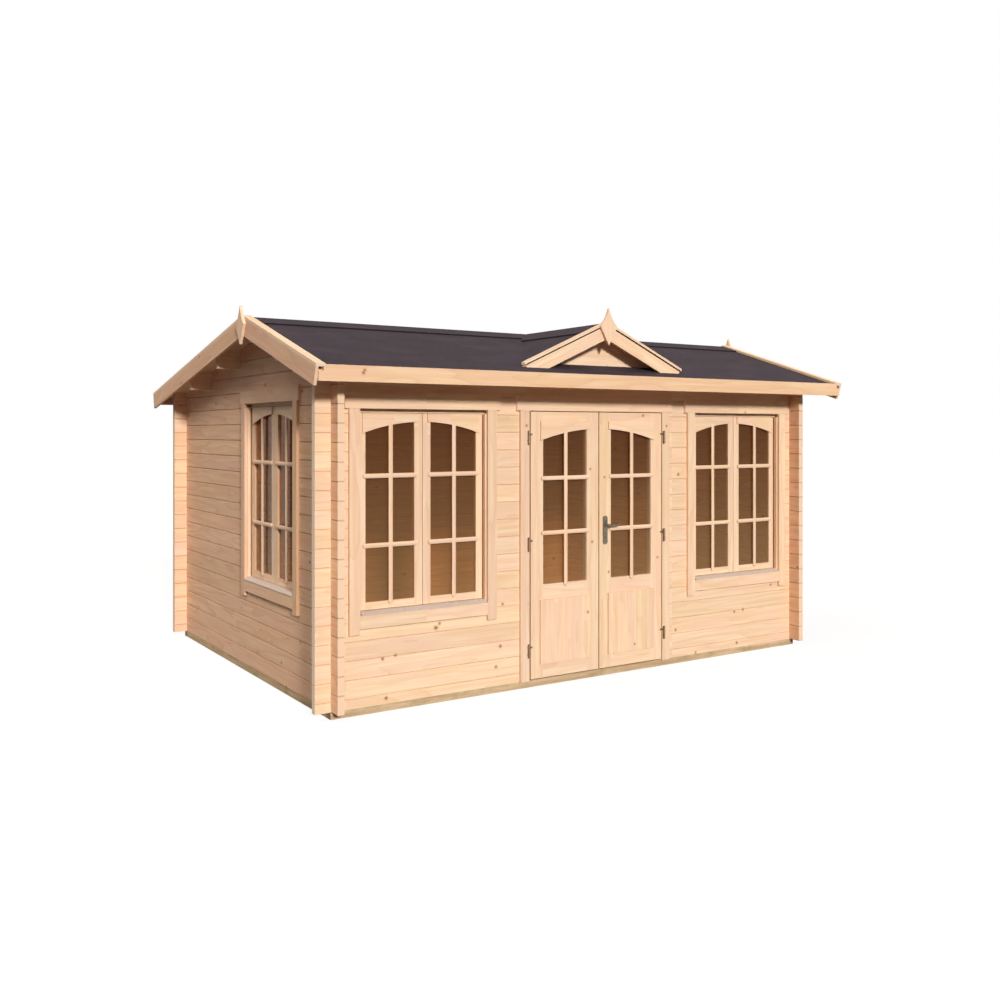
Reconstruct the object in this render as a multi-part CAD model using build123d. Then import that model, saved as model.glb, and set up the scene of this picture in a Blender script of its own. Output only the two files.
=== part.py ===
from build123d import *
import math
import os

os.makedirs("parts", exist_ok=True)

# A garden log cabin with interlocking corner logs, glazed double doors and a small roof dormer.
# Millimetres. X runs to the right along the front, Y to the back, Z up.
# The origin is on the ground in the middle of the walls.
# Heights named below are measured from the top of the foundation beams.

# Log walls
wall_depth = 3000.0
log_thickness = 44.0
log_height = 114.0
corner_stub = 100.0
joint_groove = 4.5

# Floor and foundation
beam_height = 45.0
beam_width = 70.0
bearer_width = 60.0
bearer_count = 7
floor_thickness = 18.0

# Main roof
ridge_offset = -570.0
log_cover = 211.5
front_pitch = 17.4
back_pitch = 11.2
front_eave = 295.0
back_eave = 165.0
gable_overhang = 218.0
deck_thickness = 18.0
felt_thickness = 4.0
ridge_cap_width = 160.0
ridge_cap_thickness = 10.0
capping_width = 58.0
capping_thickness = 18.0
capping_lift = 2.0
barge_thickness = 18.0
barge_height = 115.0
batten_width = 36.0
batten_height = 50.0
deck_setback = 30.0
eave_notch_height = 23.0
fascia_thickness = 18.0
fascia_height = 94.0
fascia_rise = 16.0
purlin_width = 44.0
purlin_height = 135.0
purlin_offsets = [-1040.0, 130.0, 780.0]

# Finials at the gables and on the dormer
finial_width = 145.0
finial_height = 254.0
finial_rise = 61.0
dormer_finial_rise = 87.0
finial_spike = 125.0
finial_thickness = 18.0
finial_hollow = 9.0

# Dormer over the doors
dormer_drop = 6.0
dormer_pitch = 23.9
dormer_overhang = 110.0
dormer_half_width = 688.0
dormer_barge_half = 671.0
dormer_barge_height = 105.0
dormer_capping_lip = 5.0
dormer_capping_width = 40.0
dormer_infill_setback = 20.0
dormer_infill_thickness = 20.0

# Windows
window_door_space = 130.0
window_corner_space = 84.0
side_window_offset = -492.0
window_opening_width = 960.0
window_opening_bottom = 513.0
window_frame_width = 36.0
window_frame_depth = 78.0
window_stop = 12.0
window_sill_thickness = 60.0
window_head_show = 24.0
window_head_setback = 30.0
sash_gap = 3.0
sash_lift = 5.0
sash_setback = 34.0
sash_thickness = 30.0
sash_stile = 48.0
sash_meeting_stile = 56.0
sash_bottom_rail = 46.0
sash_top_rail = 48.0
window_arch_drop = 51.0
window_arch_rise = 72.0
window_lower_pane = 343.0
window_middle_pane = 424.0
drip_drop = 18.0
drip_thickness = 3.0
drip_overhang = 4.0

# Boards around the windows and doors
head_line = 1800.0
head_thickness = 40.0
settling_gap = 41.0
casing_thickness = 20.0
casing_width = 70.0
window_casing_cover = 27.0
casing_head_height = 100.0
casing_head_overhang = 28.0
window_casing_drop = 71.0
apron_drop = 38.0

# Bars, arch boards and glass
bar_width = 28.0
bar_thickness = 8.0
arch_thickness = 9.0
bar_overlap = 20.0
arch_overlap = 23.0
glass_thickness = 4.0
glass_setback = 12.0

# Double doors
door_opening_half = 640.0
door_casing_cover = 54.0
door_jamb_width = 59.0
door_stop_width = 21.0
door_frame_depth = 60.0
door_stop_drop = 20.0
threshold_height = 30.0
leaf_side_gap = 6.0
leaf_gap = 4.0
leaf_bevel = 3.0
leaf_thickness = 40.0
leaf_bottom = 12.0
leaf_head_gap = 6.0
leaf_stile = 100.0
leaf_bottom_rail = 112.0
leaf_panel_height = 389.0
leaf_middle_rail = 123.0
leaf_top_rail = 94.0
leaf_arch_margin = 61.0
leaf_arch_drop = 53.0
leaf_arch_rise = 79.0
leaf_lower_pane = 345.0
leaf_middle_pane = 367.0
panel_overlap = 28.0
panel_proud = 9.0
panel_boards = 5
panel_groove = 2.5
stop_clearance = 6.0

# Hinges and handle
hinge_aside = 21.0
hinge_proud = 10.0
hinge_radius = 8.0
hinge_height = 86.0
hinge_heights = [203.0, 912.0, 1621.0]
hinge_pin_radius = 4.0
hinge_pin_clearance = 0.1
hinge_knuckle_gap = 0.4
hinge_arm_height = 12.0
hinge_arm_thickness = 2.5
hinge_arm_reach = 32.0
hinge_arm_lift = 1.0
hinge_saddle_half = 6.0
hinge_saddle_depth = 4.0
handle_offset = 53.0
handle_height = 1010.0
plate_width = 38.0
plate_length = 198.0
plate_rise = 63.0
plate_thickness = 8.0
lever_neck_radius = 8.0
lever_neck_clearance = 0.1
lever_reach = 50.0
lever_length = 88.0
lever_radius = 9.0
spindle_radius = 5.0
spindle_bore_radius = 11.0
lock_radius = 8.5
lock_drop = 92.0
lock_proud = 3.0

# Small gap between like pieces that share a name, such as two boards that meet
piece_gap = 0.6
cut_margin = 1.0

opening_half = window_opening_width / 2
window_casing_inner = opening_half - window_casing_cover
window_head_reach = window_casing_inner + casing_width + casing_head_overhang
door_casing_inner = door_opening_half - door_casing_cover
door_casing_outer = door_casing_inner + casing_width
door_head_reach = door_casing_outer + casing_head_overhang
window_offset = door_head_reach + window_door_space + window_head_reach
half_width = window_offset + window_head_reach + window_corner_space
half_depth = wall_depth / 2
door_jamb_inner = door_opening_half - door_jamb_width
door_stop_inner = door_jamb_inner - door_stop_width
leaf_outer = door_jamb_inner - leaf_side_gap
hinge_offset = leaf_outer + hinge_aside
head_top = head_line + head_thickness
opening_top = head_top + settling_gap
window_head_bottom = head_line - window_head_show
window_sill_top = window_opening_bottom + window_sill_thickness
front_slope = math.tan(math.radians(front_pitch))
back_slope = math.tan(math.radians(back_pitch))
dormer_slope = math.tan(math.radians(dormer_pitch))
roof_build = deck_thickness + felt_thickness + capping_lift + capping_thickness
ridge_under = opening_top + log_cover + front_slope * (ridge_offset + half_depth)
ridge_height = ridge_under + roof_build
roof_end = half_width + gable_overhang
barge_inner = roof_end - barge_thickness
batten_end = barge_inner - batten_width
deck_end = barge_inner - deck_setback
cap_reach = roof_end - capping_width - piece_gap
eave_front = -half_depth - front_eave
eave_back = half_depth + back_eave
front_face = -half_depth
leaf_face = front_face - casing_thickness
leaf_back = leaf_face + leaf_thickness
hinge_y = leaf_face - hinge_proud
glass_face = sash_setback + glass_setback
felt_low = deck_thickness
felt_high = deck_thickness + felt_thickness
cap_low = felt_high + capping_lift
cap_high = cap_low + capping_thickness
barge_low = cap_low - barge_height
deck_start = eave_front + fascia_thickness
deck_finish = eave_back - fascia_thickness
ridge_side = piece_gap / 2
ridge_front = ridge_offset - ridge_side
ridge_back = ridge_offset + ridge_side
wall_crossings = range(0, int(ridge_height / log_height) + 1)


def box(x, y, z):
    """A block between two values on each axis."""
    size = (x[1] - x[0], y[1] - y[0], z[1] - z[0])
    return Pos(x[0], y[0], z[0]) * Box(*size, align=(Align.MIN, Align.MIN, Align.MIN))


def prism(points, vector):
    """A bar whose outline joins the points, carried along the vector."""
    outline = make_face(Polyline(*points, close=True))
    return extrude(outline, amount=vector.length, dir=vector.normalized())


def along_x(points, low, high):
    """A bar along X from its outline in y and z."""
    return prism([(low, y, z) for y, z in points], Vector(high - low, 0, 0))


def along_y(points, low, high):
    """A bar along Y from its outline in x and z."""
    return prism([(x, low, z) for x, z in points], Vector(0, high - low, 0))


def rod(x, y, z, radius, direction):
    """A round bar from one point, its length and way given by a vector."""
    start = Plane(origin=(x, y, z), z_dir=direction.normalized())
    return extrude(start * Circle(radius), amount=direction.length)


def group(*shapes):
    """Several solids that share one name."""
    solids = []
    for shape in shapes:
        solids.extend(shape.solids())
    return Compound(solids)


def mirrored(shape):
    """The same piece on the other side of the cabin."""
    return shape.mirror(Plane.YZ)


def save(name, shape):
    """Lift a piece from the wall base to the ground frame and write it."""
    export_step(Pos(0, 0, beam_height) * shape, "parts/" + name + ".step")


# Roof surfaces

def under_front(y):
    return ridge_under - front_slope * (ridge_offset - y)


def under_back(y):
    return ridge_under - back_slope * (y - ridge_offset)


def front_layer(low, high, start, end):
    """Outline in y and z of a sheet on the front slope, by its heights over the rafter line."""
    return [(start, under_front(start) + low), (end, under_front(end) + low),
            (end, under_front(end) + high), (start, under_front(start) + high)]


def back_layer(low, high, start, end):
    """Outline in y and z of a sheet on the back slope."""
    return [(start, under_back(start) + low), (end, under_back(end) + low),
            (end, under_back(end) + high), (start, under_back(start) + high)]


def front_board(low, high, start):
    """Outline of a board down the front slope whose end, at the start line, is square to the slope."""
    square = front_slope / (1 + front_slope ** 2)
    low_end = start + (cap_low - low) * square
    high_end = start + (cap_low - high) * square
    return [(low_end, under_front(low_end) + low), (ridge_front, under_front(ridge_front) + low),
            (ridge_front, under_front(ridge_front) + high), (high_end, under_front(high_end) + high)]


def back_board(low, high, finish):
    """Outline of a board down the back slope whose end, at the finish line, is square to the slope."""
    square = back_slope / (1 + back_slope ** 2)
    low_end = finish - (cap_low - low) * square
    high_end = finish - (cap_low - high) * square
    return [(ridge_back, under_back(ridge_back) + low), (low_end, under_back(low_end) + low),
            (high_end, under_back(high_end) + high), (ridge_back, under_back(ridge_back) + high)]


def above_roof():
    """Everything over the underside of the roof boards, to trim walls and purlins."""
    reach = roof_end + cut_margin
    top = ridge_height + ridge_height
    points = [(eave_front - half_depth, under_front(eave_front - half_depth)),
              (ridge_offset, ridge_under),
              (eave_back + half_depth, under_back(eave_back + half_depth)),
              (eave_back + half_depth, top), (eave_front - half_depth, top)]
    return along_x(points, -reach, reach)


def below_felt():
    """Everything under the top of the front felt, to seat the dormer on the slope."""
    rise = deck_thickness + felt_thickness
    start = eave_front - half_depth
    points = [(start, under_front(start) + rise), (ridge_offset, ridge_under + rise),
              (ridge_offset, 0), (start, 0)]
    return along_x(points, -half_width, half_width)


# Log walls

def stacked_profile(low, high, first_joint):
    """Section of stacked logs, across and up, with a V groove at each joint on both faces."""
    joints = []
    height = first_joint
    while height < high + joint_groove:
        if height > low - joint_groove:
            joints.append(height)
        height += log_height
    outer = []
    for joint in joints:
        if joint > low:
            outer.append((0, joint - joint_groove))
        outer.append((joint_groove, joint))
        if joint < high:
            outer.append((0, joint + joint_groove))
    if low not in joints:
        outer.insert(0, (0, low))
    if high not in joints:
        outer.append((0, high))
    inner = [(log_thickness - across, up) for across, up in reversed(outer)]
    return outer + inner


def side_core(level):
    """Height range in which a side log fills the corner crossing."""
    low = level * log_height + log_height / 4
    return low, low + log_height / 2


def front_core(level):
    """Height range in which a front or back log fills the corner crossing."""
    low = (level - 1) * log_height + log_height * 3 / 4
    return max(low, 0), low + log_height / 2


def notch_boxes(x, y, core):
    """The blocks that cross-halved logs leave out at one corner."""
    cuts = []
    for level in wall_crossings:
        cuts.append(box(x, y, core(level)))
    return cuts


half = log_height / 2
reach_x = half_width + corner_stub
reach_y = half_depth + corner_stub
roof_cut = above_roof()
left_strip = (-half_width, -half_width + log_thickness)
right_strip = (half_width - log_thickness, half_width)
front_strip = (front_face, front_face + log_thickness)
back_strip = (half_depth - log_thickness, half_depth)


def widened(strip):
    return strip[0] - cut_margin, strip[1] + cut_margin


def front_logs(low, high, x_low, x_high):
    """Part of the front wall between two heights, cut for the side logs it crosses."""
    points = [(front_face + across, up) for across, up in stacked_profile(low, high, half)]
    logs = along_x(points, x_low, x_high)
    cuts = []
    for strip in (left_strip, right_strip):
        if x_low < strip[0] and strip[1] < x_high:
            cuts.extend(notch_boxes(strip, widened(front_strip), side_core))
    return logs - cuts


def back_logs(low, high):
    points = [(half_depth - across, up) for across, up in stacked_profile(low, high, half)]
    logs = along_x(points, -reach_x, reach_x)
    cuts = notch_boxes(left_strip, widened(back_strip), side_core)
    cuts += notch_boxes(right_strip, widened(back_strip), side_core)
    return logs - cuts


def left_logs(low, high, y_low, y_high):
    """Part of the left wall between two heights, cut for the front and back logs it crosses."""
    points = [(-half_width + across, up) for across, up in stacked_profile(low, high, 0)]
    logs = along_y(points, y_low, y_high)
    cuts = []
    for strip in (front_strip, back_strip):
        if y_low < strip[0] and strip[1] < y_high:
            cuts += notch_boxes(widened(left_strip), strip, front_core)
    return logs - cuts


window_left = -window_offset - opening_half
window_right = -window_offset + opening_half
wall_top = ridge_height

sill = front_logs(0, window_opening_bottom, -reach_x, -door_opening_half)
save("front_sill_logs", group(sill, mirrored(sill)))

corner_pier = front_logs(window_opening_bottom, opening_top, -reach_x, window_left)
door_pier = front_logs(window_opening_bottom, opening_top, window_right, -door_opening_half)
save("front_pier_logs", group(corner_pier, door_pier, mirrored(corner_pier), mirrored(door_pier)))

front_top = front_logs(opening_top, wall_top, -reach_x, reach_x) - roof_cut
save("front_top_logs", front_top)

# The courses of the side walls lie half a log higher, and their window with them
side_window_lift = log_height / 2
side_bottom = window_opening_bottom + side_window_lift
side_top = opening_top + side_window_lift
side_sill_joint = log_height * math.ceil(side_bottom / log_height)
side_top_joint = log_height * math.floor(side_top / log_height)
side_low = side_window_offset - opening_half
side_high = side_window_offset + opening_half
side_opening = box(widened(left_strip), (side_low, side_high), (side_bottom, side_top))
purlin_lines = sorted([ridge_offset] + purlin_offsets)


def purlin(offset, low, high):
    """A roof beam along X whose top follows the roof."""
    top = ridge_under + cut_margin
    bottom = min(under_front(offset), under_back(offset)) - purlin_height
    strip = (offset - purlin_width / 2, offset + purlin_width / 2)
    return box((low, high), strip, (bottom, top)) - roof_cut


purlins = [purlin(offset, -batten_end, batten_end) for offset in purlin_lines]
save("purlins", group(*purlins))

side_sill = left_logs(0, side_sill_joint, -reach_y, reach_y) - side_opening
save("left_sill_logs", side_sill)
side_front_pier = left_logs(side_sill_joint, side_top_joint, -reach_y, side_low)
side_back_pier = left_logs(side_sill_joint, side_top_joint, side_high, reach_y)
save("left_pier_logs", group(side_front_pier, side_back_pier))
gable = left_logs(side_top_joint, wall_top, -reach_y, reach_y) - side_opening
gable = gable - roof_cut - purlins
save("left_gable_logs", gable)

right_wall = left_logs(0, wall_top, -reach_y, reach_y) - roof_cut - purlins
save("right_wall_logs", mirrored(right_wall))

save("back_wall_logs", back_logs(0, wall_top) - roof_cut)

# Foundation and floor

beams = []
inner_x = half_width - beam_width
inner_y = half_depth - beam_width
for side in (-1, 1):
    rail = sorted((side * half_depth, side * inner_y))
    beams.append(box((-half_width, half_width), rail, (-beam_height, 0)))
    rail = sorted((side * half_width, side * inner_x))
    beams.append(box(rail, (-inner_y + piece_gap, inner_y - piece_gap), (-beam_height, 0)))
bearer_pitch = 2 * inner_x / (bearer_count + 1)
for index in range(bearer_count):
    x = -inner_x + (index + 1) * bearer_pitch
    strip = (x - bearer_width / 2, x + bearer_width / 2)
    beams.append(box(strip, (-inner_y + piece_gap, inner_y - piece_gap), (-beam_height, 0)))
save("foundation_beams", group(*beams))

room_x = half_width - log_thickness
room_y = half_depth - log_thickness
save("floor_boards", box((-room_x, room_x), (-room_y, room_y), (0, floor_thickness)))


# Windows, modelled facing the front with the wall face at y 0, then set in their walls

def front_window(shape):
    return Pos(-window_offset, front_face, 0) * shape


def side_window(shape):
    return Pos(-half_width, side_window_offset, side_window_lift) * Rot(0, 0, -90) * shape


def window_casing():
    """Four boards on the outer face of the wall."""
    outer = window_casing_inner + casing_width
    face = (-casing_thickness, 0)
    head_range = (head_line, head_line + casing_head_height)
    head = box((-window_head_reach, window_head_reach), face, head_range)
    side_range = (window_opening_bottom - window_casing_drop, head_line - piece_gap)
    right = box((window_casing_inner, outer), face, side_range)
    left = right.mirror(Plane.YZ)
    apron_half = window_casing_inner - piece_gap
    apron_range = (window_opening_bottom - apron_drop, window_sill_top - drip_drop)
    apron = box((-apron_half, apron_half), face, apron_range)
    return group(head, left, right, apron)


def window_frame():
    """Head, sill and jambs that line the opening, with stops that the sashes close against."""
    depth = (0, window_frame_depth)
    stop_strip = (sash_setback + sash_thickness, window_frame_depth)
    inner = opening_half - window_frame_width
    stop_reach = inner - window_stop - piece_gap
    head_depth = (window_head_setback, window_frame_depth)
    head = box((-opening_half, opening_half), head_depth, (window_head_bottom, head_top))
    head += box((-stop_reach, stop_reach), stop_strip, (window_head_bottom - window_stop, window_head_bottom))
    sill_piece = box((-opening_half, opening_half), depth, (window_opening_bottom, window_sill_top))
    sill_piece += box((-stop_reach, stop_reach), stop_strip, (window_sill_top, sash_bottom + window_stop))
    jamb_range = (window_sill_top + piece_gap, window_head_bottom - piece_gap)
    right = box((inner, opening_half), depth, jamb_range)
    right += box((inner - window_stop, inner), stop_strip, jamb_range)
    return group(head, sill_piece, right, right.mirror(Plane.YZ))


def window_drip():
    """The sloping metal strip over the sill and the apron board."""
    inner = opening_half - window_frame_width - piece_gap
    back = sash_setback
    front = -casing_thickness - drip_overhang
    top = window_sill_top + drip_thickness
    edge = top - drip_drop
    points = [(back, top), (0, top), (front, edge), (front, edge - drip_thickness),
              (-casing_thickness, edge - drip_thickness), (0, window_sill_top), (back, window_sill_top)]
    return along_x(points, -inner, inner)


def arch_board(low_x, high_x, peak, rise, top, face):
    """A board over the glass whose lower edge is an arc that runs on across both leaves."""
    radius = (high_x ** 2 + rise ** 2) / (2 * rise)

    def edge(x):
        return peak - radius + math.sqrt(radius ** 2 - x ** 2)

    middle = (low_x + high_x) / 2
    curve = ThreePointArc((low_x, 0, edge(low_x)), (middle, 0, edge(middle)), (high_x, 0, edge(high_x)))
    sides = Polyline((high_x, 0, edge(high_x)), (high_x, 0, top), (low_x, 0, top), (low_x, 0, edge(low_x)))
    board = extrude(make_face([curve, sides]), amount=arch_thickness, dir=(0, -1, 0))
    return Pos(0, face, 0) * board


def bars(low_x, high_x, low_z, high_z, heights, face):
    """One upright bar and the cross bars, laid on the face of a leaf with rounded ends."""
    middle = (low_x + high_x) / 2
    strip = (face - bar_thickness, face)
    radius = bar_width / 2
    foot = low_z - bar_overlap + radius
    upright = box((middle - radius, middle + radius), strip, (foot, high_z))
    shape = upright + rod(middle, face, foot, radius, Vector(0, -bar_thickness, 0))
    for height in heights:
        start = low_x - bar_overlap
        end = high_x + bar_overlap
        cross = box((start + radius, end - radius), strip, (height - radius, height + radius))
        for x in (start + radius, end - radius):
            cross = cross + rod(x, face, height, radius, Vector(0, -bar_thickness, 0))
        shape = shape + cross
    return shape


sash_outer = opening_half - window_frame_width - sash_gap
sash_inner = sash_gap / 2
sash_bottom = window_sill_top + sash_lift
sash_top = window_head_bottom - sash_gap
window_arch_peak = sash_top - window_arch_drop
sash_glass = (sash_inner + sash_meeting_stile, sash_outer - sash_stile)
sash_glass_heights = (sash_bottom + sash_bottom_rail, sash_top - sash_top_rail)
window_lower_bar = sash_glass_heights[0] + window_lower_pane
window_bar_heights = [window_lower_bar, window_lower_bar + window_middle_pane]


def window_sash():
    """The right-hand sash: four rails, the arched board and the bars, as one joined piece."""
    depth = (sash_setback, sash_setback + sash_thickness)
    body = box((sash_inner, sash_outer), depth, (sash_bottom, sash_top))
    body = body - box(sash_glass, widened(depth), sash_glass_heights)
    low = sash_glass[0] - arch_overlap
    high = sash_glass[1] + arch_overlap
    board = arch_board(low, high, window_arch_peak, window_arch_rise, sash_top, sash_setback)
    lattice = bars(sash_glass[0], sash_glass[1], sash_glass_heights[0], window_arch_peak,
                   window_bar_heights, sash_setback)
    return body + board + lattice


def window_pane():
    return box(sash_glass, (glass_face, glass_face + glass_thickness), sash_glass_heights)


casing = window_casing()
frame = window_frame()
right_sash = window_sash()
sashes = group(right_sash, right_sash.mirror(Plane.YZ))
right_pane = window_pane()
panes = group(right_pane, right_pane.mirror(Plane.YZ))
drip = window_drip()

for name, shape in (("casing", casing), ("frame", frame), ("sashes", sashes)):
    left_piece = front_window(shape)
    save("front_left_window_" + name, left_piece)
    save("front_right_window_" + name, mirrored(left_piece))
    save("side_window_" + name, side_window(shape))
front_panes = front_window(panes)
save("window_glass", group(front_panes, mirrored(front_panes), side_window(panes)))
front_drip = front_window(drip)
save("window_drip_strips", group(front_drip, mirrored(front_drip), side_window(drip)))

# Door surround

casing_depth = (leaf_face, front_face)
casing_head = box((-door_head_reach, door_head_reach), casing_depth,
                  (head_line, head_line + casing_head_height))
right_casing = box((door_casing_inner, door_casing_outer), casing_depth, (0, head_line - piece_gap))
save("door_casing", group(casing_head, right_casing, mirrored(right_casing)))

frame_depth = (front_face, front_face + door_frame_depth)
stop_depth = (leaf_back + stop_clearance, frame_depth[1])
right_jamb = box((door_jamb_inner, door_opening_half), frame_depth, (0, head_line - piece_gap))
right_jamb += box((door_stop_inner, door_jamb_inner), stop_depth, (0, head_line - piece_gap))
door_head = box((-door_opening_half, door_opening_half), frame_depth, (head_line, head_top))
stop_reach = door_stop_inner - piece_gap
door_head += box((-stop_reach, stop_reach), stop_depth, (head_line - door_stop_drop, head_line))
threshold = box((-stop_reach, stop_reach), stop_depth, (0, threshold_height))
floor_notch = box((-room_x, room_x), (-room_y, room_y), (0, floor_thickness))
save("door_frame", group(right_jamb - floor_notch, mirrored(right_jamb - floor_notch),
                         door_head, threshold - floor_notch))


# Door leaves, modelled on the right and mirrored to the left

leaf_top = head_line - leaf_head_gap
leaf_panel_bottom = leaf_bottom + leaf_bottom_rail
leaf_panel_top = leaf_panel_bottom + leaf_panel_height
leaf_glass_bottom = leaf_panel_top + leaf_middle_rail
leaf_glass_top = leaf_top - leaf_top_rail
leaf_arch_top = leaf_top - leaf_arch_margin
leaf_arch_peak = leaf_arch_top - leaf_arch_drop
leaf_lower_bar = leaf_glass_bottom + leaf_lower_pane
leaf_bar_heights = [leaf_lower_bar, leaf_lower_bar + leaf_middle_pane]
glass_x = (leaf_gap + leaf_stile + leaf_bevel, leaf_outer - leaf_stile)
leaf_glass_face = leaf_face + (leaf_thickness - glass_thickness) / 2


def door_leaf():
    """Stiles and rails with the meeting edge bevelled so that each leaf swings past the other."""
    outline = [(leaf_gap, leaf_face), (leaf_outer, leaf_face), (leaf_outer, leaf_back),
               (leaf_gap + leaf_bevel, leaf_back)]
    body = prism([(x, y, leaf_bottom) for x, y in outline], Vector(0, 0, leaf_top - leaf_bottom))
    depth = widened((leaf_face, leaf_back))
    body = body - box(glass_x, depth, (leaf_glass_bottom, leaf_glass_top))
    return body - box(glass_x, depth, (leaf_panel_bottom, leaf_panel_top))


def leaf_panel():
    """Upright boards that fill the lower part of the leaf and stand proud of it."""
    fill = box(glass_x, (leaf_face, leaf_back), (leaf_panel_bottom, leaf_panel_top))
    low = glass_x[0] - panel_overlap
    high = glass_x[1] + panel_overlap
    heights = (leaf_panel_bottom - bar_overlap, leaf_panel_top + bar_overlap)
    face = leaf_face - panel_proud
    shape = fill + box((low, high), (face, leaf_face), heights)
    pitch = (high - low) / panel_boards
    for index in range(1, panel_boards):
        x = low + index * pitch
        groove = [(x - panel_groove, face - cut_margin), (x + panel_groove, face - cut_margin),
                  (x, face + panel_groove)]
        start = heights[0] - cut_margin
        length = heights[1] - heights[0] + 2 * cut_margin
        shape = shape - prism([(gx, gy, start) for gx, gy in groove], Vector(0, 0, length))
    return shape


def leaf_trim():
    """The arched board and the bars over the glass."""
    low = glass_x[0] - arch_overlap
    high = glass_x[1] + arch_overlap
    board = arch_board(low, high, leaf_arch_peak, leaf_arch_rise, leaf_arch_top, leaf_face)
    lattice = bars(glass_x[0], glass_x[1], leaf_glass_bottom, leaf_arch_peak, leaf_bar_heights, leaf_face)
    return board + lattice


def hinge_knuckle(low, high, bore):
    """One half of a hinge barrel."""
    barrel = rod(hinge_offset, hinge_y, low, hinge_radius, Vector(0, 0, high - low))
    if bore > 0:
        barrel = barrel - rod(hinge_offset, hinge_y, low, bore, Vector(0, 0, high - low))
    return barrel


def leaf_hinge(height):
    """The upper half of a hinge: a bored barrel and a short arm on the leaf."""
    low = height + hinge_knuckle_gap / 2
    high = height + hinge_height / 2
    middle = (low + high) / 2
    arm_range = (middle - hinge_arm_height / 2, middle + hinge_arm_height / 2)
    arm_back = leaf_face - hinge_arm_lift
    arm_start = hinge_offset - hinge_arm_reach
    arm = box((arm_start, hinge_offset), (arm_back - hinge_arm_thickness, arm_back), arm_range)
    foot = box((arm_start, leaf_outer), (arm_back, leaf_face), arm_range)
    bore = hinge_pin_radius + hinge_pin_clearance
    arm = arm - rod(hinge_offset, hinge_y, low, hinge_radius - cut_margin, Vector(0, 0, high - low))
    return hinge_knuckle(low, high, bore) + arm + foot


def post_hinge(height):
    """The lower half of a hinge: the barrel with its pin and the saddle on the casing."""
    low = height - hinge_height / 2
    high = height - hinge_knuckle_gap / 2
    middle = (low + high) / 2
    saddle = box((hinge_offset - hinge_saddle_half, hinge_offset + hinge_saddle_half),
                 (leaf_face - hinge_saddle_depth, leaf_face),
                 (middle - hinge_arm_height / 2, middle + hinge_arm_height / 2))
    pin = rod(hinge_offset, hinge_y, high, hinge_pin_radius, Vector(0, 0, hinge_height / 2))
    return hinge_knuckle(low, high, 0) + saddle + pin


spindle_bore = rod(handle_offset, leaf_face - cut_margin, handle_height, spindle_bore_radius,
                   Vector(0, leaf_thickness + 2 * cut_margin, 0))
leaf_body = door_leaf()
panel = leaf_panel()
trim = leaf_trim()
pane = box(glass_x, (leaf_glass_face, leaf_glass_face + glass_thickness), (leaf_glass_bottom, leaf_glass_top))
leaf_hinges = group(*[leaf_hinge(height) for height in hinge_heights])
post_hinges = group(*[post_hinge(height) for height in hinge_heights])

save("door_right_leaf", leaf_body - spindle_bore)
save("door_right_trim", group(panel, trim))
save("door_right_glass", pane)
save("door_right_hinges", leaf_hinges)
save("door_left_leaf", mirrored(leaf_body))
save("door_left_trim", mirrored(group(panel, trim)))
save("door_left_glass", mirrored(pane))
save("door_left_hinges", mirrored(leaf_hinges))
save("hinge_posts", group(post_hinges, mirrored(post_hinges)))


# Lever handle on the right leaf

def handle_plate(face, way):
    """The long plate with its lock boss, on the face whose outward way is given."""
    depth = sorted((face, face + way * plate_thickness))
    half_plate = plate_width / 2
    plate_top = handle_height + plate_rise
    plate_range = (plate_top - plate_length, plate_top)
    plate = box((handle_offset - half_plate, handle_offset + half_plate), depth, plate_range)
    plate = fillet(plate.edges().filter_by(Axis.Y), half_plate - cut_margin)
    boss_length = plate_thickness + lock_proud
    plate += rod(handle_offset, face, handle_height - lock_drop, lock_radius, Vector(0, way * boss_length, 0))
    bore = lever_neck_radius + lever_neck_clearance
    reach = way * (plate_thickness + cut_margin)
    return plate - rod(handle_offset, face - way * cut_margin, handle_height, bore, Vector(0, 2 * reach, 0))


def lever_arm(face, way):
    """A neck out of the plate that turns into a level grip."""
    end = face + way * lever_reach
    neck = rod(handle_offset, face, handle_height, lever_neck_radius, Vector(0, way * lever_reach, 0))
    knob = Pos(handle_offset, end, handle_height) * Sphere(lever_radius)
    grip = rod(handle_offset, end, handle_height, lever_radius, Vector(lever_length, 0, 0))
    tip = Pos(handle_offset + lever_length, end, handle_height) * Sphere(lever_radius)
    return neck + knob + grip + tip


save("handle_plates", group(handle_plate(leaf_face, -1), handle_plate(leaf_back, 1)))
spindle = rod(handle_offset, leaf_face, handle_height, spindle_radius, Vector(0, leaf_thickness, 0))
save("door_handle", lever_arm(leaf_face, -1) + spindle + lever_arm(leaf_back, 1))

# Main roof

front_deck = along_x(front_layer(0, felt_low, deck_start, ridge_front), -deck_end, deck_end)
back_deck = along_x(back_layer(0, felt_low, ridge_back, deck_finish), -deck_end, deck_end)
save("roof_boards", group(front_deck, back_deck))

front_felt = along_x(front_layer(felt_low, felt_high, deck_start, ridge_front), -deck_end, deck_end)
back_felt = along_x(back_layer(felt_low, felt_high, ridge_back, deck_finish), -deck_end, deck_end)
save("roof_felt", group(front_felt, back_felt))

cap_front = front_layer(felt_high, felt_high + ridge_cap_thickness,
                        ridge_offset - ridge_cap_width, ridge_offset)
cap_back = back_layer(felt_high, felt_high + ridge_cap_thickness,
                      ridge_offset, ridge_offset + ridge_cap_width)

barge_front = along_x(front_board(barge_low, cap_low, eave_front), -roof_end, -barge_inner)
barge_back = along_x(back_board(barge_low, cap_low, eave_back), -roof_end, -barge_inner)
left_barges = group(barge_front, barge_back)
save("gable_bargeboards", group(left_barges, mirrored(left_barges)))

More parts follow.
